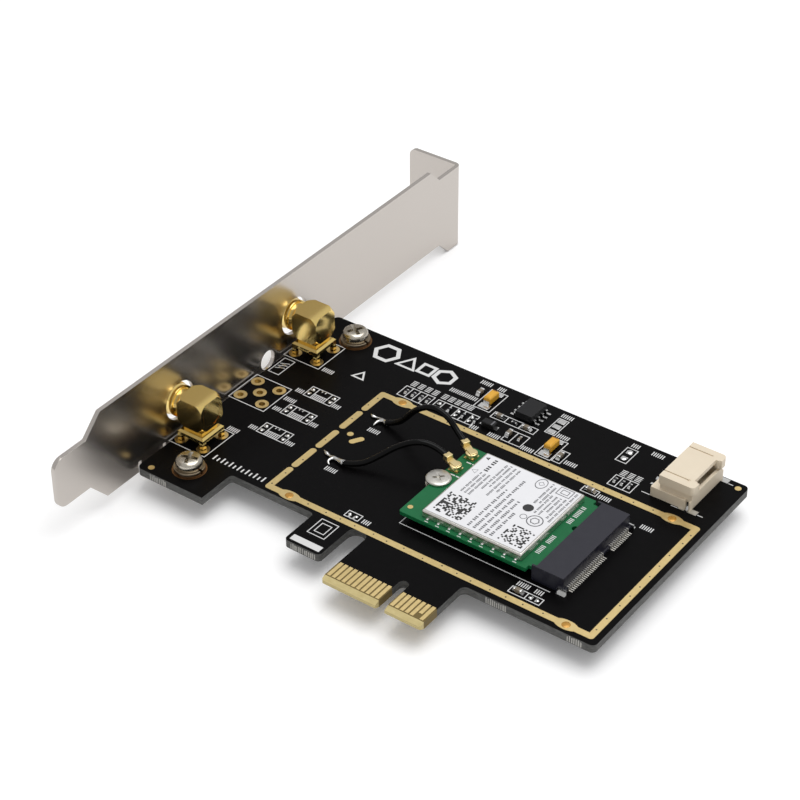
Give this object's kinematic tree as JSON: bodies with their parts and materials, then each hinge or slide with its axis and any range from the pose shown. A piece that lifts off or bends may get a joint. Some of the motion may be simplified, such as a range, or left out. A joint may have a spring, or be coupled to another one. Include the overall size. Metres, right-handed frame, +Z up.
{
  "type": "pcie wifi card",
  "caption": "Desktop wifi adapter card: black circuit board with an M.2 radio module, two gold antenna jacks, thin coax leads and a full-height steel slot bracket.",
  "frame": {"origin": "centre of the box around the card, at its lowest point", "axes": "+X from the bracket to the board's free end, +Y from the edge connector to the bracket's screw flange, +Z up out of the component side"},
  "size_m": [0.1038, 0.12, 0.0214],
  "materials": {
    "bracket_steel": "nickel plated, satin",
    "screw_steel": "bright plated",
    "board": "black solder mask",
    "gold": "gold plated",
    "solder": "tinned",
    "jack_gold": "gold plated, polished",
    "ptfe": "white",
    "socket_black": "satin",
    "module_green": "green solder mask",
    "can_steel": "tin plated",
    "label": "matt",
    "nickel": "nickel plated",
    "cable_black": "satin jacket",
    "ivory": "ivory",
    "tantalum": "orange moulding",
    "chip_black": "black moulding",
    "ceramic": "fired ceramic"
  },
  "bodies": {
    "root": {"bracket": "bracket_steel", "bracket_screws": "screw_steel", "bracket_screw_washers": "screw_steel", "circuit_board": "board", "edge_contacts_component_side": "gold", "edge_contacts_solder_side": "gold", "ground_fence_trace": "gold", "plated_holes": "gold", "screw_ground_pads": "gold", "solder_pads": "solder", "antenna_solder_joints": "solder", "m2_socket_housing": "socket_black", "m2_socket_contacts": "gold", "m2_socket_hold_downs": "solder", "wifi_module_board": "module_green", "module_shield_can": "can_steel", "module_label": "label", "coax_receptacles": "gold", "module_standoff": "nickel", "module_screw": "nickel", "coax_plug_upper": "jack_gold", "coax_plug_lower": "jack_gold", "coax_lead_upper": "cable_black", "coax_lead_lower": "cable_black", "coax_solder_joints": "solder", "header_housing": "ivory", "header_pins": "solder", "header_solder_tabs": "solder", "tantalum_capacitors": "tantalum", "tantalum_terminals": "solder", "regulator_body": "chip_black", "regulator_leads": "solder", "diode_body": "chip_black", "diode_terminals": "solder", "ceramic_capacitors": "ceramic", "chip_resistors": "chip_black", "chip_terminals": "solder", "lower_jack_body": "jack_gold", "lower_jack_rear_cap": "jack_gold", "lower_jack_insulator": "ptfe", "lower_jack_centre_contact": "gold", "upper_jack_body": "jack_gold", "upper_jack_rear_cap": "jack_gold", "upper_jack_insulator": "ptfe", "upper_jack_centre_contact": "gold"}
  },
  "joints": []
}
